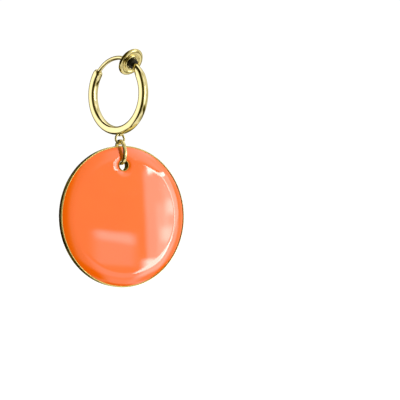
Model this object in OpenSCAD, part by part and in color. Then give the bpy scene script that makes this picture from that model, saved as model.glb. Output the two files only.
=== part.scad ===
// Clip-on hoop earring with a round enamel drop.
// A square gold-plated tube is bent into an open hoop. A round wire slides in the tube's back end
// against a hidden spring and carries a small dished pad, which pinches the ear lobe against a
// rubber tip on the tube's front end. A loop soldered under the hoop holds a jump ring, and the
// jump ring holds a round metal disc whose face is filled with domed enamel.
// Millimetres, +Z up. The origin is the clamp point, where the pad meets the rubber tip.
// The hoop lies in the YZ plane, with its front at -Y. Angles on the hoop start at level on the
// front side and go up over the top.

/* [Hoop] */
// Diameter of the hoop, along the middle of its tube
hoop_d = 12.8; // [12:0.1:16]
// Width of the square tube across its flats
tube_w = 1.46; // [1.3:0.01:1.6]
// Radius on the four long corners of the tube
tube_corner_r = 0.18; // [0.15:0.01:0.35]
// Diameter of the bore that the wire slides in
bore_d = 0.87; // [0.84:0.01:0.94]
// Angle of the tube's front end, in degrees on the hoop
tip_angle = 45; // [40:1:60]
// Angle of the tube's back end, in degrees on the hoop
tail_angle = 133; // [125:1:150]
// Diameter of the tapered nose at the front end
nose_d = 0.96; // [0.9:0.01:1.1]
// Length of the nose's taper, in degrees on the hoop
nose_len = 22; // [16:1:30]
// Diameter that the back end is rounded down to
tail_d = 1.3; // [1.2:0.01:1.5]
// Length of the back end's taper, in degrees on the hoop
tail_len = 7; // [5:1:12]

/* [Clip] */
// Diameter of the sliding wire
wire_d = 0.75; // [0.7:0.01:0.78]
// How far the wire reaches into the tube when closed, in degrees on the hoop
wire_hidden = 72; // [66:1:90]
// Diameter of the rubber tip
rubber_d = 1.75; // [1.5:0.05:1.85]
// Length of the rubber tip that stands out of the tube
rubber_len = 0.8; // [0.6:0.05:1]
// Radius on the rubber tip's front edge
rubber_edge_r = 0.2; // [0.1:0.05:0.25]
// Diameter of the rubber stem inside the nose
stem_d = 0.5; // [0.4:0.01:0.55]
// Length of the rubber stem inside the nose, in degrees on the hoop
stem_len = 12; // [6:1:15]
// Diameter of the clip's pad
pad_d = 5.1; // [4:0.02:5.4]
// Thickness of the pad's pressed sheet
pad_t = 0.3; // [0.25:0.01:0.4]
// Diameter of the dish in the middle of the pad
dish_d = 1.9; // [1.88:0.02:2]
// How far the pad's inner ring stands above the dish
inner_ring_h = 0.22; // [0.15:0.01:0.24]
// Half width of the pad's inner ring
inner_half_w = 0.24; // [0.2:0.01:0.3]
// How far the pad's outer ring stands above the dish
outer_ring_h = 0.18; // [0.1:0.01:0.2]
// Half width of the pad's outer ring
outer_half_w = 0.43; // [0.35:0.01:0.5]
// Diameter of the boss on the pad's back
boss_d = 1.4; // [1.2:0.05:1.8]
// Height of the boss on the pad's back
boss_h = 0.45; // [0.3:0.05:0.6]

/* [Hanging loop] */
// Outside diameter of the loop soldered under the hoop
loop_d = 2.1; // [2:0.05:2.6]
// Diameter of the loop's wire
loop_wire_d = 0.4; // [0.35:0.01:0.45]
// How far the loop's top is sunk into the tube and its solder
loop_sink = 0.3; // [0.2:0.01:0.35]
// Turn of the loop and the drop about Z, in degrees from square to the hoop
drop_turn = -13.6; // [-20:0.1:20]

/* [Jump ring] */
// Diameter of the jump ring's wire
ring_wire_d = 0.55; // [0.5:0.01:0.6]
// Depth of the oval jump ring from front to back, along the middle of its wire
ring_depth = 3.1; // [3:0.05:3.3]

/* [Pendant] */
// Outside diameter of the pendant
pendant_d = 25; // [18:0.5:32]
// Height of the pendant's metal rim
rim_h = 1.1; // [1:0.05:1.4]
// Thickness of the metal under the enamel
floor_t = 0.7; // [0.6:0.05:0.9]
// Thickness of the rim's wall around the enamel
rim_wall = 0.22; // [0.15:0.01:0.4]
// Diameter of the hole that the jump ring passes through
hole_d = 1.8; // [1.7:0.05:2.2]
// Distance from the hole's middle to the pendant's edge
hole_inset = 3.49; // [3:0.01:3.6]
// Thickness of the metal collar around the hole
collar_wall = 0.18; // [0.12:0.01:0.3]
// Radius of the flatter middle of the enamel, inside its rounded shoulder
crown_r = 9.8; // [6:0.1:12]
// Radius of curvature of the enamel's middle
crown_curve_r = 400; // [200:10:600]
// Slope of the enamel where it meets the rim, in degrees
edge_slope = 18; // [10:1:30]
// How wide the enamel rounds down to the collar at the hole
hole_shoulder = 0.9; // [0.5:0.05:1]

/* [Hidden] */
$fn = 96;
gold = [0.86, 0.74, 0.42];
black = [0.07, 0.07, 0.07];
orange = [1.0, 0.46, 0.2];

// Small gap between two pieces of one body
fit_gap = 0.02;
// Running clearance where the jump ring bears on the loop and on the pendant
bearing_gap = 0.03;
// Clearance between the hanging loop and the top edge of the pendant
edge_gap = 0.2;
// Fine cut where a wire ring was closed
slit = 0.06;
// Overshoot of a cutting shape
over = 1;

// The hoop's centre, set so that the pad meets the rubber tip at the origin
hoop_r = hoop_d / 2;
fit_angle = fit_gap / hoop_r * 180 / PI;
clamp_angle = tip_angle + rubber_len / hoop_r * 180 / PI;
hoop_cy = hoop_r * cos(clamp_angle);
hoop_cz = -hoop_r * sin(clamp_angle);
hoop_bottom_z = hoop_cz - hoop_r - tube_w / 2;
head_len = rubber_len - nose_d / 2 * sin(clamp_angle - tip_angle) - fit_gap;

// The wire runs from the pad's back into the tube
wire_start = clamp_angle + pad_t / hoop_r * 180 / PI + 2 * fit_angle;
wire_socket = 20;
// The tube's outline reaches this far from its middle, at its corners
tube_reach = (tube_w / 2 - tube_corner_r) * sqrt(2) + tube_corner_r;

// The hanging loop, measured down from the underside of the tube
loop_r = (loop_d - loop_wire_d) / 2;
loop_cz = loop_sink - loop_d / 2;
loop_cut_angle = 45;
solder_r = 0.36;

// The pendant hangs just under the loop, with its weight below the loop's wire
disc_r = pendant_d / 2;
disc_cz = loop_sink - loop_d - edge_gap - disc_r;
hole_up = disc_r - hole_inset;
hole_chamfer = 0.1;
back_depth = 0.47;

// The enamel's profile is a wide arc over the middle and a tighter arc down to the rim
pocket_r = disc_r - rim_wall;
crown_slope = asin(crown_r / crown_curve_r);
shoulder_r = (pocket_r - crown_r) / (sin(edge_slope) - sin(crown_slope));
shoulder_drop = shoulder_r * (cos(crown_slope) - cos(edge_slope));
crown_drop = crown_curve_r * (1 - cos(crown_slope));
enamel_edge_h = rim_h - fit_gap;
enamel_top = enamel_edge_h + shoulder_drop + crown_drop;
collar_r = hole_d / 2 + collar_wall;
hole_drop = enamel_top - enamel_edge_h - crown_drop;
meniscus_r = (hole_shoulder * hole_shoulder + hole_drop * hole_drop) / (2 * hole_drop);

// The jump ring is an oval. Its top bears on the loop, its bottom on the edges of the hole.
ring_r = ring_wire_d / 2;
ring_half_d = ring_depth / 2;
ring_top_z = loop_cz - loop_r + loop_wire_d / 2 + bearing_gap + ring_r;
hole_top_z = disc_cz + hole_up + hole_d / 2;
ring_sag = 0.24;
ring_bottom_z = hole_top_z - ring_sag - bearing_gap - ring_r;
ring_half_h = (ring_top_z - ring_bottom_z) / 2;
ring_cz = (ring_top_z + ring_bottom_z) / 2;
ring_steps = 56;
ring_sides = 16;
ring_cut = slit / ring_half_d * 180 / PI;

// The middle of the ring's wire, as depth and height, and the direction square to it
function ring_point(a) = [ring_half_d * cos(a), ring_half_h * sin(a)];
function ring_out(a) = let (n = [ring_half_h * cos(a), ring_half_d * sin(a)]) n / norm(n);

// Sweeps a flat outline round the hoop, from one angle to another
module around_hoop(from, to)
    translate([0, hoop_cy, hoop_cz])
        rotate([90, 0, -90])
            rotate([0, 0, from])
                rotate_extrude(angle = to - from)
                    translate([hoop_r, 0])
                        children();

// Puts children on the hoop at an angle, with their Z along the tube and towards the back
module on_hoop(angle)
    translate([0, hoop_cy, hoop_cz])
        rotate([-angle, 0, 0])
            translate([0, -hoop_r, 0])
                children();

// Puts children under the hoop and turns them with the drop
module under_hoop()
    translate([0, hoop_cy, hoop_bottom_z])
        rotate([0, 0, drop_turn])
            children();

// Lays children on the pendant, with Z from its back to its front and Y up
module on_pendant()
    under_hoop()
        translate([0, back_depth, disc_cz])
            rotate([90, 0, 0])
                children();

module tube_outline() {
    flat = tube_w - 2 * tube_corner_r;
    square([tube_w, flat], center = true);
    square([flat, tube_w], center = true);
    for (x = [-1, 1], y = [-1, 1])
        translate([x * flat / 2, y * flat / 2])
            circle(r = tube_corner_r);
}

module hanging_loop()
    under_hoop() {
        difference() {
            translate([0, 0, loop_cz])
                rotate([90, 0, 0])
                    rotate_extrude()
                        translate([loop_r, 0])
                            circle(d = loop_wire_d);
            translate([0, 0, loop_cz])
                rotate([0, loop_cut_angle, 0])
                    translate([-slit / 2, -loop_wire_d, loop_r - loop_wire_d])
                        cube([slit, 2 * loop_wire_d, 2 * loop_wire_d]);
        }
        sphere(r = solder_r);
    }

// What is turned off an end of the tube, to leave it round and tapered over some degrees.
// The side is 1 for the front end and -1 for the back end.
module end_trim(end_angle, len, end_d, side) {
    middle = end_angle - side * len / 2;
    half_chord = hoop_r * sin(len / 2);
    sagitta = hoop_r * (1 - cos(len / 2));
    wide_r = tube_reach + sagitta + fit_gap;
    slope = (wide_r - end_d / 2) / (2 * half_chord);
    difference() {
        around_hoop(end_angle - side * len, end_angle + side * over)
            square([2 * wide_r, 2 * wide_r], center = true);
        on_hoop(middle)
            rotate([side > 0 ? 0 : 180, 0, 0])
                translate([0, 0, -half_chord - over])
                    cylinder(
                        r1 = wide_r + over * slope,
                        r2 = end_d / 2 - over * slope,
                        h = 2 * half_chord + 2 * over
                    );
    }
}

module hoop_tube()
    color(gold)
        difference() {
            union() {
                around_hoop(tail_angle, tip_angle + 360)
                    tube_outline();
                hanging_loop();
            }
            around_hoop(tail_angle - over, tip_angle - nose_len + 360)
                circle(d = bore_d);
            around_hoop(tip_angle - nose_len - over, tip_angle + over)
                circle(d = stem_d + 2 * fit_gap);
            end_trim(tip_angle, nose_len, nose_d, 1);
            end_trim(tail_angle, tail_len, tail_d, -1);
        }

// The rubber tip's head stands straight on its curved stem
module rubber_tip()
    color(black) {
        around_hoop(tip_angle - stem_len, (tip_angle + clamp_angle) / 2)
            circle(d = stem_d);
        on_hoop(clamp_angle)
            rotate_extrude()
                rubber_head_outline();
    }

module rubber_head_outline() {
    flat_r = rubber_d / 2 - rubber_edge_r;
    translate([0, -head_len])
        square([flat_r, head_len]);
    translate([0, -head_len])
        square([rubber_d / 2, head_len - rubber_edge_r]);
    translate([flat_r, -rubber_edge_r])
        circle(r = rubber_edge_r);
}

module spring_wire()
    color(gold)
        around_hoop(wire_start, tail_angle + wire_hidden)
            circle(d = wire_d);

// Half section of the pad, with its face down and its back up
module pad_outline() {
    edge_r = pad_t / 2;
    outer_mid = pad_d / 2 - outer_half_w;
    outer_r = (outer_half_w * outer_half_w + outer_ring_h * outer_ring_h) / (2 * outer_ring_h);
    square([pad_d / 2 - edge_r, pad_t]);
    translate([pad_d / 2 - edge_r, edge_r])
        circle(r = edge_r);
    intersection() {
        translate([outer_mid, outer_r - outer_ring_h])
            circle(r = outer_r);
        translate([outer_mid - outer_half_w, -outer_ring_h - over])
            square([2 * outer_half_w, outer_ring_h + over + edge_r]);
    }
    translate([dish_d / 2 + inner_half_w, inner_half_w - inner_ring_h])
        circle(r = inner_half_w);
    translate([0, pad_t - edge_r])
        square([boss_d / 2, boss_h + edge_r]);
}

module clip_pad()
    color(gold)
        difference() {
            on_hoop(clamp_angle)
                translate([0, 0, fit_gap])
                    rotate_extrude()
                        pad_outline();
            around_hoop(wire_start - fit_angle, wire_start + wire_socket)
                circle(d = wire_d + 2 * fit_gap);
        }

// One round wire swept along the oval, with its two cut ends butted at the back
module jump_ring() {
    points = [
        for (i = [0:ring_steps])
            let (a = ring_cut / 2 + (360 - ring_cut) * i / ring_steps)
            for (j = [0:ring_sides - 1])
                let (
                    u = 360 * j / ring_sides,
                    flat = ring_point(a) + ring_out(a) * ring_r * cos(u)
                )
                [ring_r * sin(u), flat[0], flat[1]]
    ];
    faces = concat(
        [[for (j = [0:ring_sides - 1]) j]],
        [[for (j = [ring_sides - 1:-1:0]) ring_steps * ring_sides + j]],
        [
            for (i = [0:ring_steps - 1])
                for (j = [0:ring_sides - 1])
                    let (
                        k = (j + 1) % ring_sides,
                        here = i * ring_sides,
                        next = here + ring_sides
                    )
                    [here + j, next + j, next + k, here + k]
        ]
    );
    color(gold)
        under_hoop()
            translate([0, 0, ring_cz])
                polyhedron(points, faces, convexity = 4);
}

module pendant_base()
    color(gold)
        on_pendant()
            difference() {
                union() {
                    cylinder(r = disc_r, h = floor_t);
                    difference() {
                        cylinder(r = disc_r, h = rim_h);
                        translate([0, 0, floor_t])
                            cylinder(r = pocket_r, h = rim_h);
                    }
                    translate([0, hole_up, 0])
                        cylinder(r = collar_r, h = rim_h);
                }
                translate([0, hole_up, -over])
                    cylinder(d = hole_d, h = rim_h + 2 * over);
                translate([0, hole_up, -hole_chamfer])
                    cylinder(r1 = hole_d / 2 + 2 * hole_chamfer, r2 = hole_d / 2, h = 2 * hole_chamfer);
            }

// Height of the enamel at a distance from the pendant's middle
function enamel_h(r) = r < crown_r
    ? enamel_top - crown_curve_r + sqrt(crown_curve_r * crown_curve_r - r * r)
    : enamel_edge_h - shoulder_r * cos(edge_slope)
        + sqrt(shoulder_r * shoulder_r - pow(r - pocket_r + shoulder_r * sin(edge_slope), 2));

// Half section of the domed enamel
module enamel_outline() {
    fill_r = pocket_r - fit_gap;
    crown_points = [for (i = [0:3]) let (r = crown_r * i / 4) [r, enamel_h(r)]];
    shoulder_points = [
        for (i = [0:8]) let (r = crown_r + (fill_r - crown_r) * i / 8) [r, enamel_h(r)]
    ];
    fill_h = floor_t + fit_gap;
    polygon(concat(crown_points, shoulder_points, [[fill_r, fill_h], [0, fill_h]]));
}

module pendant_enamel()
    color(orange)
        on_pendant()
            difference() {
                rotate_extrude()
                    enamel_outline();
                translate([0, hole_up, 0]) {
                    cylinder(r = collar_r + fit_gap, h = 2 * enamel_top);
                    rotate_extrude()
                        difference() {
                            translate([0, enamel_edge_h - fit_gap])
                                square([collar_r + hole_shoulder, enamel_top]);
                            translate([collar_r + hole_shoulder, enamel_top - meniscus_r])
                                circle(r = meniscus_r);
                        }
                }
            }

hoop_tube();
rubber_tip();
spring_wire();
clip_pad();
jump_ring();
pendant_base();
pendant_enamel();
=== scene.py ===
"""A clip-on hoop earring with a round enamel drop, hanging in a plain white studio."""
import math

import bmesh
import bpy
from mathutils import Matrix, Vector


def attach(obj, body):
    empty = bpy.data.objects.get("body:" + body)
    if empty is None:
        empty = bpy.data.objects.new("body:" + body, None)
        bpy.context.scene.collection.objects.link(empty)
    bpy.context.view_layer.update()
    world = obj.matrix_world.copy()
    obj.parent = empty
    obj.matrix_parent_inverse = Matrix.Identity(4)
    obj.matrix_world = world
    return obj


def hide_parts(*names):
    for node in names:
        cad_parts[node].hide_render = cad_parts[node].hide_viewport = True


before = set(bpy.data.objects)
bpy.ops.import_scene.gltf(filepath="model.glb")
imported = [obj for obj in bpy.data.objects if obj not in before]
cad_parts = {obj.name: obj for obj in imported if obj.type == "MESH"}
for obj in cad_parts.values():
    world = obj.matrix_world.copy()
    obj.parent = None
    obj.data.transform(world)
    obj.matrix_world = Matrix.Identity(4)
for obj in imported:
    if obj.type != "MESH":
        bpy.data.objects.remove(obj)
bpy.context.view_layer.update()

# Camera
# The photograph is taken from 14 cm away, from the open side of the hoop and level with the
# drop, with the earring left of the middle of the frame and the camera tipped a little.
MM = 0.001
view_azimuth = math.radians(-49.579)
view_elevation = math.radians(0.694)
view_roll = math.radians(-3.104)
camera_place = Vector((-97.86, -97.25, -22.81)) * MM
back = Vector((
    math.sin(view_azimuth) * math.cos(view_elevation),
    -math.cos(view_azimuth) * math.cos(view_elevation),
    math.sin(view_elevation),
))
level_right = Vector((math.cos(view_azimuth), math.sin(view_azimuth), 0))
level_up = back.cross(level_right)
right = level_right * math.cos(view_roll) + level_up * math.sin(view_roll)
up = level_up * math.cos(view_roll) - level_right * math.sin(view_roll)
camera_data = bpy.data.cameras.new("camera")
camera_data.lens = 71.18
camera_data.sensor_width = 36
camera_data.clip_start = 10 * MM
camera = bpy.data.objects.new("camera", camera_data)
bpy.context.scene.collection.objects.link(camera)
camera.matrix_world = Matrix.Translation(camera_place) @ Matrix((right, up, back)).transposed().to_4x4()
bpy.context.scene.camera = camera

# Hoop tube
# A thin-walled square brass tube bent to an open hoop, gold plated and polished. Its front
# end is swaged down to a round nose for the rubber tip, its back end is eased round. The
# loop for the drop is a turn of wire, soldered under it before plating.
hoop_r = 6.4 * MM
tube_w = 1.46 * MM
tube_corner_r = 0.4 * MM
tube_mean_r = 0.83 * MM        # mean distance of the square outline from its middle
flat_side_min = 0.15 * MM      # the flat sides of the outline are longer than this
side_crown = 0.2               # how far the flat sides swell towards a circle
bore_r = 0.435 * MM
stem_bore_r = 0.27 * MM
nose_r = 0.48 * MM
tail_r = 0.65 * MM
rubber_len = 0.8 * MM

# How round each end gets, and its taper: 1 is straight, and more keeps it nearer the end.
nose_rounding = 1.6
nose_taper = 1.4
tail_rounding = 0.8
tail_taper = 3

# Angles round the hoop, in degrees, from level at the front up over the top.
tip_angle = 45
tail_angle = 133 - 360         # down round the bottom and up the back
nose_span = 22
tail_span = 7
clamp_angle = tip_angle + math.degrees(rubber_len / hoop_r)
hoop_centre = Vector((
    0,
    hoop_r * math.cos(math.radians(clamp_angle)),
    -hoop_r * math.sin(math.radians(clamp_angle)),
))


def clear_selection():
    """Leaves edit mode and deselects every object."""
    if bpy.context.object and bpy.context.object.mode != "OBJECT":
        bpy.ops.object.mode_set(mode="OBJECT")
    bpy.ops.object.select_all(action="DESELECT")


def choose(piece):
    """Selects one piece alone and makes it the active one."""
    clear_selection()
    piece.select_set(True)
    bpy.context.view_layer.objects.active = piece


def place(piece):
    """Puts the piece's place, turn and size into its mesh."""
    choose(piece)
    bpy.ops.object.transform_apply(location=True, rotation=True, scale=True)


def edit(piece, mode="VERT"):
    """Opens one piece in edit mode with nothing selected."""
    choose(piece)
    bpy.ops.object.mode_set(mode="EDIT")
    bpy.ops.mesh.select_mode(type=mode)
    bpy.ops.mesh.select_all(action="DESELECT")


def pick(piece, wanted):
    """In edit mode, selects the vertices that wanted says yes to, and nothing else."""
    mesh = bmesh.from_edit_mesh(piece.data)
    for v in mesh.verts:
        v.select = wanted(v.co)
    mesh.select_flush_mode()
    mesh.select_flush(True)
    bmesh.update_edit_mesh(piece.data)


def smooth(piece, angle):
    """Smooth shading, with an edge wherever two faces meet more sharply than the angle."""
    choose(piece)
    bpy.ops.object.shade_smooth_by_angle(angle=math.radians(angle))


def work(piece, part, action):
    """Joins a part to a piece, or cuts its shape out of it. The part is used up."""
    choose(piece)
    step = piece.modifiers.new("worked", "BOOLEAN")
    step.operation = action
    step.solver = "EXACT"
    step.object = part
    bpy.ops.object.modifier_apply(modifier=step.name)
    bpy.data.objects.remove(part)


def hoop_angle(co):
    """Angle of a point round the hoop in degrees."""
    flat = co - hoop_centre
    return math.degrees(math.atan2(flat.z, -flat.y))


def hoop_point(angle):
    """Middle of the tube at an angle."""
    a = math.radians(angle)
    return hoop_centre + hoop_r * Vector((0, -math.cos(a), math.sin(a)))


def off_tube(co, angle):
    """Distance of a point from the middle of the tube at an angle."""
    return (co - hoop_point(angle)).length


def at_angle(co, angle, tolerance=0.2):
    """True if a point lies on the cross-section at an angle."""
    turn = (hoop_angle(co) - angle + 180) % 360 - 180
    return abs(turn) < tolerance


clear_selection()
bpy.ops.mesh.primitive_plane_add(size=tube_w, location=hoop_point(0))
hoop = bpy.context.object
hoop.name = "hoop_tube_polished"
place(hoop)
edit(hoop)
bpy.ops.mesh.select_all(action="SELECT")
bpy.ops.mesh.bevel(offset=tube_corner_r, segments=8, affect="VERTICES")
bpy.ops.mesh.delete(type="ONLY_FACE")
outline = bmesh.from_edit_mesh(hoop.data)
for e in outline.edges:
    e.select = e.calc_length() > flat_side_min
bmesh.update_edit_mesh(hoop.data)
bpy.ops.mesh.subdivide(number_cuts=5)
bpy.ops.mesh.select_all(action="SELECT")
bpy.ops.transform.tosphere(value=side_crown)
bpy.ops.mesh.select_all(action="SELECT")
bpy.ops.mesh.spin(steps=tip_angle, angle=math.radians(tip_angle), center=hoop_centre, axis=(1, 0, 0))
pick(hoop, lambda co: at_angle(co, 0))
bpy.ops.mesh.spin(
    steps=-tail_angle, angle=math.radians(tail_angle), center=hoop_centre, axis=(1, 0, 0)
)
for k in range(nose_span):
    angle = tip_angle - k
    part = 1 - k / nose_span
    pick(hoop, lambda co: at_angle(co, angle))
    bpy.ops.transform.tosphere(value=min(1, nose_rounding * part))
    size = 1 - (1 - nose_r / tube_mean_r) * part ** nose_taper
    bpy.ops.transform.resize(value=(size,) * 3, center_override=hoop_point(angle))
for k in range(tail_span):
    angle = tail_angle + k
    part = 1 - k / tail_span
    pick(hoop, lambda co: at_angle(co, angle))
    bpy.ops.transform.tosphere(value=part ** 2 * tail_rounding)
    size = 1 - (1 - tail_r / tube_mean_r) * part ** tail_taper
    bpy.ops.transform.resize(value=(size,) * 3, center_override=hoop_point(angle))

# The bore, narrower in the nose where the stem of the rubber tip sits.
bpy.ops.mesh.select_all(action="DESELECT")
bpy.ops.mesh.primitive_circle_add(vertices=56, radius=bore_r, location=hoop_point(0))
bore_front = tip_angle - nose_span
bpy.ops.mesh.spin(
    steps=bore_front, angle=math.radians(bore_front), center=hoop_centre, axis=(1, 0, 0)
)
bpy.ops.mesh.extrude_region_move()
bpy.ops.transform.resize(
    value=(stem_bore_r / bore_r,) * 3, center_override=hoop_point(bore_front)
)
bpy.ops.mesh.spin(
    steps=nose_span // 2, angle=math.radians(nose_span), center=hoop_centre, axis=(1, 0, 0)
)
pick(hoop, lambda co: at_angle(co, 0) and off_tube(co, 0) < bore_r * 1.1)
bpy.ops.mesh.spin(
    steps=round(-tail_angle / 3), angle=math.radians(tail_angle), center=hoop_centre, axis=(1, 0, 0)
)
for end in (tip_angle, tail_angle):
    pick(hoop, lambda co: at_angle(co, end))
    bpy.ops.mesh.bridge_edge_loops()
bpy.ops.mesh.select_all(action="SELECT")
bpy.ops.mesh.remove_doubles(threshold=0.002 * MM)
bpy.ops.mesh.normals_make_consistent(inside=False)
clear_selection()

# The soldered loop: 2.1 mm of 0.4 mm wire, with the fine line where its ends meet. It is
# turned as the drop is, which hangs 13.6 degrees from square to the hoop.
drop_turn = math.radians(-13.6)
drop_right = Vector((math.cos(drop_turn), math.sin(drop_turn), 0))
under_hoop = hoop_centre - Vector((0, 0, hoop_r + tube_w / 2))
loop_r = 0.85 * MM
loop_wire_r = 0.2 * MM
loop_drop = 0.75 * MM
loop_centre = under_hoop - Vector((0, 0, loop_drop))
loop_cut_angles = (45, 49.9)
solder_r = 0.36 * MM


def open_wire(piece, on_cut):
    """Takes one ring of faces out of a closed wire and closes the two ends, as where it was cut."""
    edit(piece, "FACE")
    mesh = bmesh.from_edit_mesh(piece.data)
    for f in mesh.faces:
        f.select = on_cut(f.calc_center_median())
    bmesh.update_edit_mesh(piece.data)
    bpy.ops.mesh.delete(type="FACE")
    bpy.ops.mesh.select_all(action="SELECT")
    bpy.ops.mesh.fill_holes(sides=0)
    bpy.ops.mesh.normals_make_consistent(inside=False)
    clear_selection()


def on_loop_cut(co):
    """True if a point of the loop lies where its wire was cut."""
    angle = math.degrees(math.atan2((co - loop_centre).dot(drop_right), co.z - loop_centre.z))
    return loop_cut_angles[0] < angle < loop_cut_angles[1]


bpy.ops.mesh.primitive_torus_add(
    location=loop_centre,
    rotation=(math.radians(90), 0, drop_turn),
    major_segments=72,
    minor_segments=24,
    major_radius=loop_r,
    minor_radius=loop_wire_r,
)
loop = bpy.context.object
place(loop)
open_wire(loop, on_loop_cut)
bpy.ops.mesh.primitive_uv_sphere_add(
    segments=40, ring_count=20, radius=solder_r, location=under_hoop, scale=(1, 1, 0.9)
)
solder = bpy.context.object
place(solder)
work(hoop, loop, "UNION")
work(hoop, solder, "UNION")
smooth(hoop, 32)


def linear(hex_colour):
    """An sRGB hex colour as the linear values that a shader takes."""
    values = [int(hex_colour[i:i + 2], 16) / 255 for i in (1, 3, 5)]
    return tuple(v / 12.92 if v <= 0.04045 else ((v + 0.055) / 1.055) ** 2.4 for v in values) + (1,)


def add_node(tree, kind, links=(), **settings):
    """Adds a node, sets its own settings or its sockets' values, and links its inputs."""
    node = tree.nodes.new(kind)
    for name, value in settings.items():
        if hasattr(node, name):
            setattr(node, name, value)
        else:
            node.inputs[name.replace("_", " ")].default_value = value
    for socket, source in dict(links).items():
        tree.links.new(source, node.inputs[socket])
    return node


def finish_material(name):
    """A new material and its shader."""
    material = bpy.data.materials.new(name)
    material.use_nodes = True
    return material, material.node_tree.nodes["Principled BSDF"]


def gold_plate(name, pale, deep, tone_mm, shine, dull, peel_mm, peel_depth_mm):
    """Bright yellow gold plate on polished brass: a clear warm mirror, a little uneven in tone,
    with the faint waviness that polishing leaves."""
    material, shader = finish_material(name)
    tree = material.node_tree
    spot = add_node(tree, "ShaderNodeTexCoord").outputs["Object"]
    tone = add_node(tree, "ShaderNodeTexNoise", {"Vector": spot}, Scale=1 / (tone_mm * MM), Detail=2.0)
    mix = add_node(tree, "ShaderNodeMix", {"Factor": tone.outputs["Fac"]}, data_type="RGBA")
    mix.inputs["A"].default_value = linear(pale)
    mix.inputs["B"].default_value = linear(deep)
    tree.links.new(mix.outputs["Result"], shader.inputs["Base Color"])
    gloss = add_node(
        tree, "ShaderNodeMapRange", {"Value": tone.outputs["Fac"]},
        From_Min=0.3, From_Max=0.7, To_Min=shine, To_Max=dull
    )
    tree.links.new(gloss.outputs["Result"], shader.inputs["Roughness"])
    peel = add_node(tree, "ShaderNodeTexNoise", {"Vector": spot}, Scale=1 / (peel_mm * MM), Detail=1.0)
    bump = add_node(
        tree, "ShaderNodeBump", {"Height": peel.outputs["Fac"]}, Strength=1.0, Distance=peel_depth_mm * MM
    )
    tree.links.new(bump.outputs["Normal"], shader.inputs["Normal"])
    shader.inputs["Metallic"].default_value = 1
    return material


tube_gold = gold_plate("polished gold plate on tube", "#f6e8ae", "#f0dfa0", 2.5, 0.05, 0.11, 0.9, 0.004)
hoop.data.materials.append(tube_gold)
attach(hoop, "hoop")
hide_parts("hoop_tube")

# Rubber tip
# A short plug of black silicone rubber, moulded with a soft matt skin, its stem pushed into
# the nose of the tube. It cushions the front of the lobe.
rubber, rubber_shader = finish_material("moulded black silicone rubber")
rubber_tree = rubber.node_tree
rubber_shader.inputs["Base Color"].default_value = linear("#17150f")
rubber_spot = add_node(rubber_tree, "ShaderNodeTexCoord").outputs["Object"]
rubber_grain = add_node(rubber_tree, "ShaderNodeTexNoise", {"Vector": rubber_spot}, Scale=1 / (0.12 * MM))
rubber_gloss = add_node(
    rubber_tree, "ShaderNodeMapRange", {"Value": rubber_grain.outputs["Fac"]}, To_Min=0.3, To_Max=0.5
)
rubber_tree.links.new(rubber_gloss.outputs["Result"], rubber_shader.inputs["Roughness"])
rubber_bump = add_node(
    rubber_tree, "ShaderNodeBump", {"Height": rubber_grain.outputs["Fac"]}, Strength=0.6, Distance=0.006 * MM
)
rubber_tree.links.new(rubber_bump.outputs["Normal"], rubber_shader.inputs["Normal"])
rubber_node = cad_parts["rubber_tip"]
rubber_node.data.materials.clear()
rubber_node.data.materials.append(rubber)

# Spring wire
# A curved 0.75 mm round steel wire, gold plated, that slides in the tube's back end against
# a coil spring inside. It is drawn wire, so it is the smoothest metal here.
wire_gold = gold_plate("gold plate on drawn wire", "#f6e8ae", "#f0dfa0", 3.0, 0.05, 0.09, 0.6, 0.002)
wire_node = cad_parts["spring_wire"]
wire_node.data.materials.clear()
wire_node.data.materials.append(wire_gold)

# Clip pad
# A round pad pressed from sheet brass with two raised rings round a dish, soldered to the
# end of the wire by a boss on its back and gold plated with it.
pad_r = 2.55 * MM
pad_t = 0.3 * MM
pad_edge_r = 0.12 * MM
pad_bevel_w = 0.02 * MM
pad_bevel_h = 0.128 * MM
dish_middle_r = 0.5 * MM
dish_r = 0.93 * MM
inner_ring_r = 1.19 * MM
inner_ring_bend_r = 0.24 * MM
inner_ring_axis_h = 0.02 * MM
outer_ring_r = 2.03 * MM
outer_ring_bend_r = 0.61 * MM
outer_ring_axis_h = 0.44 * MM
boss_foot_r = 0.78 * MM
boss_r = 0.7 * MM
boss_h = 0.45 * MM
boss_edge_r = 0.1 * MM
socket_r = 0.395 * MM
pad_gap = 0.02 * MM


def arc(middle_r, middle_h, radius, start, stop, steps):
    """Points of an arc as (distance from the axis, height), angles in degrees."""
    return [
        (
            middle_r + radius * math.cos(math.radians(start + (stop - start) * i / steps)),
            middle_h + radius * math.sin(math.radians(start + (stop - start) * i / steps)),
        )
        for i in range(steps + 1)
    ]


def turned(name, profile, segments):
    """A turned form about Z: a disc, whose edge is extruded and resized from one point of the
    profile to the next. The profile gives distance from the axis and height."""
    clear_selection()
    bpy.ops.mesh.primitive_circle_add(
        vertices=segments, radius=profile[0][0], fill_type="NGON", location=(0, 0, profile[0][1])
    )
    form = bpy.context.object
    form.name = name
    place(form)
    edit(form, "EDGE")
    bpy.ops.mesh.select_all(action="SELECT")
    reached, level = profile[0]
    for radius, height in profile[1:]:
        bpy.ops.mesh.extrude_edges_move(TRANSFORM_OT_translate={"value": (0, 0, height - level)})
        scale = radius / reached
        bpy.ops.transform.resize(value=(scale, scale, 1), center_override=(0, 0, height))
        reached, level = radius, height
    bpy.ops.mesh.edge_face_add()
    bpy.ops.mesh.select_all(action="SELECT")
    bpy.ops.mesh.normals_make_consistent(inside=False)
    clear_selection()
    return form


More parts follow.
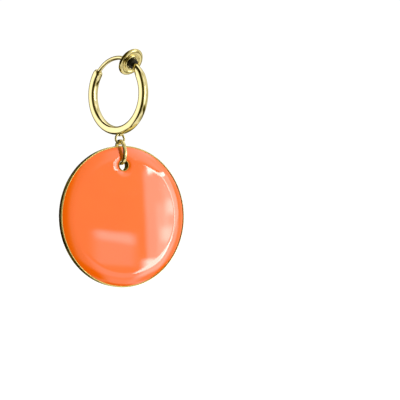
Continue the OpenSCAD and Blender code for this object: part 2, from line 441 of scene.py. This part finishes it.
# From the middle of the dish out over the two rings, round the edge and in over the boss.
pad_profile = (
    [(dish_middle_r, 0.0), (dish_r, 0.0)]
    + arc(inner_ring_r, inner_ring_axis_h, inner_ring_bend_r, 185, 355, 20)
    + arc(outer_ring_r, outer_ring_axis_h, outer_ring_bend_r, 226, 303, 22)
    + [(pad_r - pad_bevel_w, pad_bevel_h), (pad_r, pad_t - pad_edge_r)]
    + arc(pad_r - pad_edge_r, pad_t - pad_edge_r, pad_edge_r, 0, 90, 7)
    + [(boss_foot_r, pad_t)]
    + arc(boss_r - boss_edge_r, pad_t + boss_h - boss_edge_r, boss_edge_r, 0, 90, 6)
    + [(socket_r, pad_t + boss_h), (socket_r, pad_t)]
)
pad = turned("clip_pad_pressed", pad_profile, 128)
on_clamp = (
    Matrix.Translation(hoop_centre)
    @ Matrix.Rotation(-math.radians(clamp_angle), 4, "X")
    @ Matrix.Translation((0, -hoop_r, pad_gap))
)
pad.matrix_world = on_clamp
place(pad)
smooth(pad, 40)
pad_gold = gold_plate("gold plate on pressed sheet", "#f4e6a6", "#ebd894", 1.2, 0.05, 0.1, 0.6, 0.0015)
pad.data.materials.append(pad_gold)
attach(pad, "clip")
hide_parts("clip_pad")

# Jump ring
# An oval ring of gold-plated wire, 0.6 by 0.5 mm with soft corners, squeezed shut with
# pliers through the loop and the hole in the disc. Its cut ends butt at the back.
ring_half_depth = 1.55 * MM
ring_half_height = 2.02 * MM
ring_wire_w = 0.6 * MM
ring_wire_t = 0.5 * MM
ring_wire_corner = 0.13 * MM
ring_drop = 3.115 * MM
ring_centre = under_hoop - Vector((0, 0, ring_drop))
ring_cut_h = 0.07 * MM
drop_front = Vector((math.sin(drop_turn), -math.cos(drop_turn), 0))
clear_selection()
bpy.ops.curve.primitive_bezier_circle_add(
    radius=MM, location=ring_centre, rotation=(0, math.radians(90), drop_turn)
)
ring = bpy.context.object
ring.scale = (ring_half_height / MM, ring_half_depth / MM, 1)
place(ring)
choose(ring)
bpy.ops.object.mode_set(mode="EDIT")
bpy.ops.curve.select_all(action="SELECT")
bpy.ops.curve.radius_set(radius=1.0)
bpy.ops.object.mode_set(mode="OBJECT")
bpy.ops.mesh.primitive_plane_add(size=MM)
section = bpy.context.object
section.scale = (ring_wire_w / MM, ring_wire_t / MM, 1)
place(section)
edit(section)
bpy.ops.mesh.select_all(action="SELECT")
bpy.ops.mesh.bevel(offset=ring_wire_corner, segments=7, affect="VERTICES")
bpy.ops.mesh.delete(type="ONLY_FACE")
clear_selection()
section.select_set(True)
bpy.ops.object.convert(target="CURVE")
choose(ring)
ring.data.resolution_u = 40
ring.data.bevel_mode = "OBJECT"
ring.data.bevel_object = section
bpy.ops.object.convert(target="MESH")
ring = bpy.context.object
bpy.data.objects.remove(section)
ring.name = "jump_ring_closed"


def on_ring_cut(co):
    """True if a point of the ring lies where its wire was cut, at the back."""
    return (co - ring_centre).dot(drop_front) < 0 and 0 < co.z - ring_centre.z < ring_cut_h


open_wire(ring, on_ring_cut)
smooth(ring, 40)
ring_gold = gold_plate("gold plate on ring wire", "#f4e6a6", "#ebd894", 0.8, 0.06, 0.12, 0.3, 0.003)
ring.data.materials.append(ring_gold)
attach(ring, "link")
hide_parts("jump_ring")

# Pendant base
# A cast and plated disc, 25 mm across: a flat back, a low rim that holds the enamel, and a
# collar round the hole for the jump ring.
disc_r = 12.5 * MM
disc_back_edge_r = 0.15 * MM
rim_h = 1.1 * MM
rim_lip_r = 0.11 * MM
pocket_r = disc_r - 2 * rim_lip_r
floor_t = 0.7 * MM
hole_up = 9.01 * MM
hole_r = 0.9 * MM
hole_sink = 0.1 * MM           # the back of the hole is countersunk this far at 45 degrees
drill_len = 4 * MM
collar_r = 0.98 * MM
collar_h = 1.4 * MM
collar_foot = 0.1 * MM
disc_drop = 14.5 * MM
disc_centre = under_hoop - Vector((0, 0, disc_drop))
disc_back_off = 0.47 * MM      # from the plane that the drop hangs in to the back of the disc
on_disc = (
    Matrix.Translation(disc_centre)
    @ Matrix.Rotation(drop_turn, 4, "Z")
    @ Matrix.Translation((0, disc_back_off, 0))
    @ Matrix.Rotation(math.radians(90), 4, "X")
)
base_profile = (
    [(disc_r - disc_back_edge_r, 0.0)]
    + arc(disc_r - disc_back_edge_r, disc_back_edge_r, disc_back_edge_r, -80, 0, 7)
    + arc(disc_r - rim_lip_r, rim_h - rim_lip_r, rim_lip_r, 0, 180, 12)
    + [(pocket_r, floor_t)]
)
base = turned("pendant_base_plated", base_profile, 320)
bpy.ops.mesh.primitive_cylinder_add(
    vertices=96, radius=collar_r, depth=collar_h - collar_foot,
    location=(0, hole_up, (collar_h + collar_foot) / 2),
)
collar = bpy.context.object
place(collar)
bpy.ops.mesh.primitive_cylinder_add(
    vertices=96, radius=hole_r, depth=drill_len, location=(0, hole_up, 0)
)
drill = bpy.context.object
place(drill)
bpy.ops.mesh.primitive_cone_add(
    vertices=96, radius1=hole_r + 2 * hole_sink, radius2=hole_r - hole_sink, depth=3 * hole_sink,
    location=(0, hole_up, hole_sink / 2),
)
countersink = bpy.context.object
place(countersink)
work(base, collar, "UNION")
work(base, drill, "DIFFERENCE")
work(base, countersink, "DIFFERENCE")
base.matrix_world = on_disc
place(base)
smooth(base, 30)
base_gold = gold_plate("gold plate on cast disc", "#f0dc90", "#e4cc7a", 4.0, 0.08, 0.16, 1.4, 0.006)
base.data.materials.append(base_gold)
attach(base, "pendant")
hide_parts("pendant_base")

# Pendant enamel
# Orange resin enamel poured into the pocket until it domes: nearly flat over the middle, a
# rounded shoulder to the rim, and a dimple where it draws down to the collar at the hole.
enamel_gap = 0.02 * MM
enamel_edge_h = 0.99 * MM
crown_r = 9.75 * MM
crown_curve_r = 400 * MM
edge_slope = math.radians(22)
crown_slope = math.asin(crown_r / crown_curve_r)
shoulder_r = (pocket_r - crown_r) / (math.sin(edge_slope) - math.sin(crown_slope))
shoulder_axis_r = pocket_r - shoulder_r * math.sin(edge_slope)
shoulder_axis_h = enamel_edge_h - shoulder_r * math.cos(edge_slope)
crown_axis_h = shoulder_axis_h + (shoulder_r - crown_curve_r) * math.cos(crown_slope)
dimple_r = 2.6 * MM
dimple_start_r = collar_r + enamel_gap / 2
dimple_drop = 0.30 * MM
lip_w = 0.12 * MM
lip_drop = 0.06 * MM


def enamel_height(x, y):
    """Height of the enamel over the back of the disc, at a place on the disc."""
    out = math.hypot(x, y)
    if out < crown_r:
        height = crown_axis_h + math.sqrt(crown_curve_r ** 2 - out ** 2)
    else:
        height = shoulder_axis_h + math.sqrt(shoulder_r ** 2 - (out - shoulder_axis_r) ** 2)
    from_hole = math.hypot(x, y - hole_up)
    if from_hole < dimple_r:
        part = (dimple_r - from_hole) / (dimple_r - dimple_start_r)
        height -= dimple_drop * part ** 3
    lip = (from_hole - dimple_start_r) / lip_w
    if lip < 1:
        height -= lip_drop * (1 - math.sqrt(1 - (1 - max(0, lip)) ** 2))
    return height


# Rings of faces from the collar out to the rim, closest together near both, each one moved
# a little further down the disc, then lifted to the dome's height.
enamel_rings = 150
ring_spacing = 1.4
fill_r = pocket_r - enamel_gap
clear_selection()
bpy.ops.mesh.primitive_circle_add(
    vertices=256, radius=dimple_start_r, fill_type="NOTHING", location=(0, hole_up, 0)
)
enamel = bpy.context.object
enamel.name = "pendant_enamel_domed"
place(enamel)
edit(enamel, "EDGE")
bpy.ops.mesh.select_all(action="SELECT")
reached, middle = dimple_start_r, hole_up
for k in range(1, enamel_rings + 1):
    t = math.sin(0.5 * math.pi * k / enamel_rings) ** ring_spacing if k < enamel_rings else 1.0
    radius = dimple_start_r + (fill_r - dimple_start_r) * t
    centre_up = hole_up * (1 - t)
    bpy.ops.mesh.extrude_edges_move(TRANSFORM_OT_translate={"value": (0, centre_up - middle, 0)})
    bpy.ops.transform.resize(
        value=(radius / reached, radius / reached, 1), center_override=(0, centre_up, 0)
    )
    reached, middle = radius, centre_up
dome = bmesh.from_edit_mesh(enamel.data)
for v in dome.verts:
    v.co.z = enamel_height(v.co.x, v.co.y)
bmesh.update_edit_mesh(enamel.data)
bpy.ops.mesh.select_all(action="SELECT")
bpy.ops.mesh.extrude_region_move()
dome = bmesh.from_edit_mesh(enamel.data)
for v in dome.verts:
    if v.select:
        v.co.z = floor_t + enamel_gap
bmesh.update_edit_mesh(enamel.data)
bpy.ops.mesh.select_all(action="SELECT")
bpy.ops.mesh.normals_make_consistent(inside=False)
clear_selection()
enamel.matrix_world = on_disc
place(enamel)
smooth(enamel, 35)

# Poured resin sets as clear and level as glass: an even, faintly cloudy orange under a
# bright, sharp gloss, with the slightest swell left from settling.
resin, resin_shader = finish_material("poured glossy orange resin enamel")
resin_tree = resin.node_tree
resin_spot = add_node(resin_tree, "ShaderNodeTexCoord").outputs["Object"]
cloud = add_node(resin_tree, "ShaderNodeTexNoise", {"Vector": resin_spot}, Scale=1 / (5 * MM), Detail=3.0)
hue = add_node(resin_tree, "ShaderNodeMix", {"Factor": cloud.outputs["Fac"]}, data_type="RGBA")
hue.inputs["A"].default_value = linear("#ff6300")
hue.inputs["B"].default_value = linear("#fa6a04")
resin_tree.links.new(hue.outputs["Result"], resin_shader.inputs["Base Color"])
wave = add_node(resin_tree, "ShaderNodeTexNoise", {"Vector": resin_spot}, Scale=1 / (3.5 * MM), Detail=0.0)
settle = add_node(
    resin_tree, "ShaderNodeBump", {"Height": wave.outputs["Fac"]}, Strength=1.0, Distance=0.002 * MM
)
resin_tree.links.new(settle.outputs["Normal"], resin_shader.inputs["Normal"])
resin_tree.links.new(settle.outputs["Normal"], resin_shader.inputs["Coat Normal"])
resin_shader.inputs["Roughness"].default_value = 0.04
resin_shader.inputs["IOR"].default_value = 1.5
resin_shader.inputs["Specular IOR Level"].default_value = 1.0
resin_shader.inputs["Coat Weight"].default_value = 1.0
resin_shader.inputs["Coat Roughness"].default_value = 0.02
resin_shader.inputs["Coat IOR"].default_value = 1.7
enamel.data.materials.append(resin)
enamel.visible_glossy = False
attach(enamel, "pendant")
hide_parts("pendant_enamel")

# Studio
# A white floor well below the hanging earring and a white ground behind it. Soft boxes stand
# to its right and behind it, a wide one hangs overhead, and the side that the camera stands
# on is dark. Their edges are what the metal and the enamel mirror.
scene = bpy.context.scene
scene.view_settings.view_transform = "Standard"
floor_level = -120 * MM
floor_size = 6
clear_selection()
bpy.ops.mesh.primitive_plane_add(size=floor_size, location=(0, 0, floor_level))
floor = bpy.context.object
floor.name = "floor"
place(floor)
floor.visible_glossy = False
floor.visible_diffuse = False
pale, pale_shader = finish_material("pale matt floor")
pale_shader.inputs["Base Color"].default_value = linear("#fcfcfc")
pale_shader.inputs["Roughness"].default_value = 1.0
pale_shader.inputs["Emission Color"].default_value = linear("#ffffff")
pale_shader.inputs["Emission Strength"].default_value = 0.65
floor.data.materials.append(pale)

# The key light: one round soft light in front of the disc, which polished faces don't mirror.
key_azimuth = math.radians(19)
key_elevation = math.radians(8)
key_distance = 600 * MM
key_size = 160 * MM
key_radiance = 50.0
key_target = Vector((0, 4, -18)) * MM
key_side = Vector((
    math.sin(key_azimuth) * math.cos(key_elevation),
    -math.cos(key_azimuth) * math.cos(key_elevation),
    math.sin(key_elevation),
))
key_data = bpy.data.lights.new("key", "AREA")
key_data.shape = "DISK"
key_data.size = key_size
key_data.energy = key_radiance * math.pi * math.pi * key_size * key_size / 4
key = bpy.data.objects.new("key", key_data)
scene.collection.objects.link(key)
key.location = key_target + key_side * key_distance
key.rotation_mode = "QUATERNION"
key.rotation_quaternion = key_side.to_track_quat("Z", "Y")
key.visible_glossy = False

# The surround is drawn on the world by direction: azimuth is 0 in front of the earring (-Y)
# and grows towards +X, elevation is 0 at the horizon, both in degrees.
world = bpy.data.worlds.new("surround")
scene.world = world
world.use_nodes = True
sky = world.node_tree
surround = sky.nodes["Background"]
look = add_node(sky, "ShaderNodeTexCoord")
parts = add_node(sky, "ShaderNodeSeparateXYZ", {"Vector": look.outputs["Generated"]})


def figure(operation, first, second=0.0):
    """A maths node on two sockets or numbers."""
    node = add_node(sky, "ShaderNodeMath", operation=operation)
    for socket, value in ((0, first), (1, second)):
        if isinstance(value, (int, float)):
            node.inputs[socket].default_value = value
        else:
            sky.links.new(value, node.inputs[socket])
    return node.outputs[0]


def ramp_of(source, low, high, stops):
    """A colour ramp in greys over a range of values, from stops of (value, level)."""
    share = add_node(sky, "ShaderNodeMapRange", {"Value": source}, From_Min=low, From_Max=high)
    ramp = add_node(sky, "ShaderNodeValToRGB", {"Fac": share.outputs["Result"]})
    while len(ramp.color_ramp.elements) < len(stops):
        ramp.color_ramp.elements.new(0.5)
    for element, (value, level) in zip(ramp.color_ramp.elements, stops):
        element.position = (value - low) / (high - low)
        element.color = (level, level, level, 1)
    return ramp.outputs["Color"]


azimuth = figure(
    "MULTIPLY",
    figure("ARCTAN2", parts.outputs["X"], figure("MULTIPLY", parts.outputs["Y"], -1)),
    180 / math.pi,
)
elevation = figure("MULTIPLY", figure("ARCSINE", parts.outputs["Z"]), 180 / math.pi)
around = ramp_of(azimuth, -180, 180, (
    (-180, 0.02), (-158, 0.03), (-147, 1.0), (-136, 1.4), (-122, 1.2), (-106, 0.4), (-92, 0.03),
    (-26, 0.05), (-19, 0.12), (-10, 0.4), (3, 0.5), (22, 0.5), (44, 1.1), (49, 0.5),
    (56, 0.5), (64, 0.85), (82, 0.7), (110, 0.5), (150, 0.3),
))
level_share = ramp_of(elevation, -90, 90, (
    (-90, 0.1), (-30, 0.1), (-27, 0.15), (-21, 1.0), (40, 1.0), (60, 0.0),
))
overhead = ramp_of(elevation, -90, 90, ((-90, 0.0), (38, 0.0), (60, 1.3), (90, 2.0)))
overhead_side = ramp_of(azimuth, -180, 180, (
    (-180, 0.0), (30, 0.0), (50, 1.0), (155, 1.0), (180, 0.0),
))
total = figure("ADD", figure("MULTIPLY", overhead, overhead_side), figure("MULTIPLY", around, level_share))


def panel(first, last, soft_sides, low, high, soft_ends, level, rise=0.0):
    """A soft box in the surround between two azimuths and two elevations, with soft edges. It
    can rise to one side, in degrees of elevation for each degree of azimuth. A level below
    zero is a black flag, which takes light away."""
    height = figure("SUBTRACT", elevation, figure("MULTIPLY", figure("SUBTRACT", azimuth, first), rise))
    shares = []
    for value, start, stop, soft in ((azimuth, first, last, soft_sides), (height, low, high, soft_ends)):
        off = figure("ABSOLUTE", figure("SUBTRACT", value, (start + stop) / 2))
        half = (stop - start) / 2
        share = add_node(
            sky, "ShaderNodeMapRange", {"Value": off}, interpolation_type="SMOOTHSTEP",
            From_Min=half - soft, From_Max=half + soft, To_Min=1.0, To_Max=0.0
        )
        shares.append(share.outputs["Result"])
    return figure("MULTIPLY", figure("MULTIPLY", shares[0], shares[1]), level)


# Each row is one call of panel, with what it lights or darkens in the photograph's view.
enamel_right_boxes = (
    (19.5, 45, 0.45, -12, 3.6, 0.6, 0.85, 0.4),       # the pale right side of the enamel
    (22.0, 26, 0.6, -7, 2.5, 2.0, 0.5),               # its brighter part, by the shoulder
    (22.4, 25, 0.6, -1.6, 0.1, 0.5, 1.8),             # the upper bright patch in it
    (21.4, 24, 0.6, -4.7, -3.1, 0.5, 1.3),            # the lower bright patch in it
    (20.9, 22.5, 0.4, -6.5, -0.3, 0.6, 0.5),          # the soft light left of the patches
    (36, 48, 4.0, -5, 24, 3.0, -0.4),                 # a flag that dims the upper shoulder
    (25.2, 26.8, 0.3, -9, 5, 1.5, -0.7),              # a flag between the patches and the streak
    (27.2, 29.8, 0.5, -12, 7.5, 1.5, 3.0),            # the narrow streak down the shoulder
    (30, 42, 1.5, -14, 6, 2.0, 0.5),                  # the pale band outside it
    (20.1, 41, 0.15, 3.1, 4.9, 0.3, 5.2, 0.46),       # the slanting patch at the top
    (24, 32, 1.0, 4.8, 7.2, 0.8, -1.6, 0.46),         # a flag above it
    (19.0, 31, 0.7, -15, -6.7, 0.3, 3.4),             # the bright patch at the bottom
    (23, 41, 2.5, -25, -13, 4.0, 0.9),                # the lower right shoulder
)
enamel_other_boxes = (
    (10, 60, 6.0, 10, 35, 4.0, 0.3),                  # the top shoulder
    (12.6, 18.0, 1.0, -6.8, -2.9, 0.3, 0.35, -0.12),  # the faint square low in the middle
    (13.0, 17.8, 0.8, -3.9, -2.9, 0.4, 0.8, -0.2),    # the bar along its top
    (4, 30, 6.0, -39, -11, 2.0, 0.35),                # the bottom shoulder
    (6, 28, 5.0, -39, -26, 3.0, 0.3),                 # and its outer edge
    (-20, 5, 3.0, -52, -37, 2.5, 0.4),                # the lower left edge
    (24, 45, 5.0, -38, -22, 3.0, 0.4),                # the lower right edge
)
metal_boxes = (
    (31, 150, 5.0, -85, -36, 2.5, 0.9),               # the floor's glow in hoop and pad, from the right
    (-20, 31, 5.0, -85, -52, 2.5, 0.9),               # from in front
    (-95, -20, 8.0, -85, -61, 2.0, 0.9),              # and from the left
    (66, 90, 6.0, -47, -30, 5.0, -0.5),               # the dark spot on the front of the hoop
    (-146, -110, 6.0, -45, -18, 8.0, 0.7),            # the undersides of the hoop and the wire
    (-139, -112, 4.0, 34, 60, 4.0, -1.5),             # the dark line inside the hoop's bottom
    (-170, -125, 5.0, -30, -13, 3.0, -1.3),           # the dark line under the hoop and the wire
    (140, 176, 5.0, 14, 32, 4.0, -0.3),               # the dark upper left of the rim
)
for box in enamel_right_boxes + enamel_other_boxes + metal_boxes:
    total = figure("ADD", total, panel(*box))
darkest = 0.01
total = figure("MAXIMUM", total, darkest)

# Dim parts of the surround are warm and bright ones white, so the gold's darks stay golden.
tint = add_node(sky, "ShaderNodeValToRGB", {"Fac": total})
tint.color_ramp.elements[0].position = 0.06
tint.color_ramp.elements[0].color = (1.0, 0.83, 0.12, 1)
tint.color_ramp.elements[1].position = 0.95
tint.color_ramp.elements[1].color = (1, 1, 1, 1)
tint.color_ramp.elements.new(0.4).color = (1.0, 0.96, 0.65, 1)
sky.links.new(tint.outputs["Color"], surround.inputs["Color"])
sky.links.new(total, surround.inputs["Strength"])

# Seen directly, and by matt faces, the surround is plain white instead.
path = add_node(sky, "ShaderNodeLightPath")
seen_directly = path.outputs["Is Camera Ray"]
ground_level = 0.45
behind_level = 1.05
plain_white = figure("MAXIMUM", seen_directly, path.outputs["Is Diffuse Ray"])
evenly = figure("ADD", figure("MULTIPLY", seen_directly, behind_level - ground_level), ground_level)
ground = add_node(sky, "ShaderNodeBackground", {"Strength": evenly}, Color=(1, 1, 1, 1))
seen = add_node(
    sky, "ShaderNodeMixShader", {0: plain_white, 1: surround.outputs[0], 2: ground.outputs[0]}
)
sky.links.new(seen.outputs[0], sky.nodes["World Output"].inputs["Surface"])

# The two CAD nodes' first materials are no longer used.
for material in list(bpy.data.materials):
    if not material.users:
        bpy.data.materials.remove(material)
